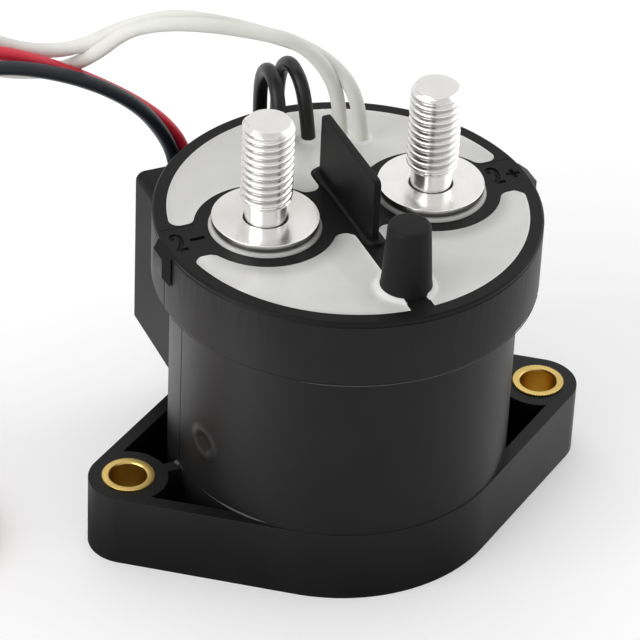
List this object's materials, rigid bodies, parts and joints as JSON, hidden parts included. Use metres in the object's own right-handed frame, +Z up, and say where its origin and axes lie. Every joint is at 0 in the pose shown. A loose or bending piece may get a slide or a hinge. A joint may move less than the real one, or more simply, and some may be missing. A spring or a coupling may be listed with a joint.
{
  "type": "high voltage dc contactor",
  "caption": "Sealed high voltage DC contactor: round potted cup with eared flange, threaded stud terminals, barrier, tube cap, rear control box and flying leads.",
  "frame": {"origin": "centre of the line between the mounting bushes, in the mounting plane", "axes": "+X along the line of the bushes and of the studs, towards the positive terminal; +Y towards the leads and the control box; +Z up along the studs, away from the mounting plane"},
  "size_m": [0.1547, 0.0859, 0.0784],
  "materials": {
    "black_plastic": "fine moulded texture",
    "box_plastic": "fine moulded texture",
    "potting": "cast, glossy",
    "plated_copper": "bright plated, turned face",
    "plated_steel": "bright plated",
    "brass": "turned",
    "ceramic": "fired, unglazed",
    "soft_iron": "zinc plated",
    "thin_steel": "drawn",
    "bobbin_plastic": "moulded",
    "copper_wire": "enamelled windings",
    "copper": "bright",
    "silver": "contact alloy",
    "spring_steel": "drawn wire",
    "magnet": "nickel plated",
    "holder_plastic": "moulded",
    "switch_plastic": "moulded",
    "board": "glass-filled board",
    "board_parts": "moulded",
    "white_wire": "extruded",
    "red_wire": "extruded",
    "black_wire": "extruded"
  },
  "bodies": {
    "case": {"housing": "black_plastic", "top_cover": "black_plastic", "potting": "potting", "terminal_left": "plated_copper", "terminal_right": "plated_copper", "stud_left": "plated_steel", "stud_right": "plated_steel", "barrier": "black_plastic", "tube_cap": "black_plastic", "evacuation_tube": "copper", "bush_left": "brass", "bush_right": "brass", "ceramic_chamber": "ceramic", "seal_ring": "thin_steel", "yoke_plate": "soft_iron", "yoke_cup": "soft_iron", "coil_bobbin": "bobbin_plastic", "coil_winding": "copper_wire", "coil_pins": "brass", "guide_sleeve": "thin_steel", "fixed_core": "soft_iron", "return_spring": "spring_steel", "magnet_front": "magnet", "magnet_back": "magnet", "magnet_holder_front": "holder_plastic", "magnet_holder_back": "holder_plastic", "aux_switch": "switch_plastic", "control_box": "box_plastic", "control_board": "board", "board_parts": "board_parts", "white_lead_a": "white_wire", "white_lead_b": "white_wire", "red_lead": "red_wire", "black_lead": "black_wire", "white_lead_a_coil": "white_wire", "white_lead_b_coil": "white_wire", "red_lead_coil": "red_wire", "black_lead_coil": "black_wire", "jumper_left": "black_wire", "jumper_right": "black_wire"},
    "plunger_group": {"plunger": "soft_iron", "shaft": "thin_steel", "spring_seat": "thin_steel", "bridge_clip": "thin_steel", "contact_spring": "spring_steel"},
    "moving_contact": {"contact_bridge": "copper", "bridge_tips": "silver"}
  },
  "joints": [
    {"name": "plunger_slide", "type": "slide", "parent": "case", "child": "plunger_group", "axis": [0, 0, 1], "range_m": [0, 0.002], "stiffness_N_per_m": 900, "springref_m": -0.004, "deforming": ["return_spring"]},
    {"name": "contact_overtravel", "type": "slide", "parent": "plunger_group", "child": "moving_contact", "axis": [0, 0, -1], "range_m": [0, 0.0005], "stiffness_N_per_m": 1500, "springref_m": -0.002, "deforming": ["contact_spring"]}
  ],
  "couplings": [
    {"joint": "contact_overtravel", "follows": "plunger_slide", "ratio": 0.25}
  ]
}
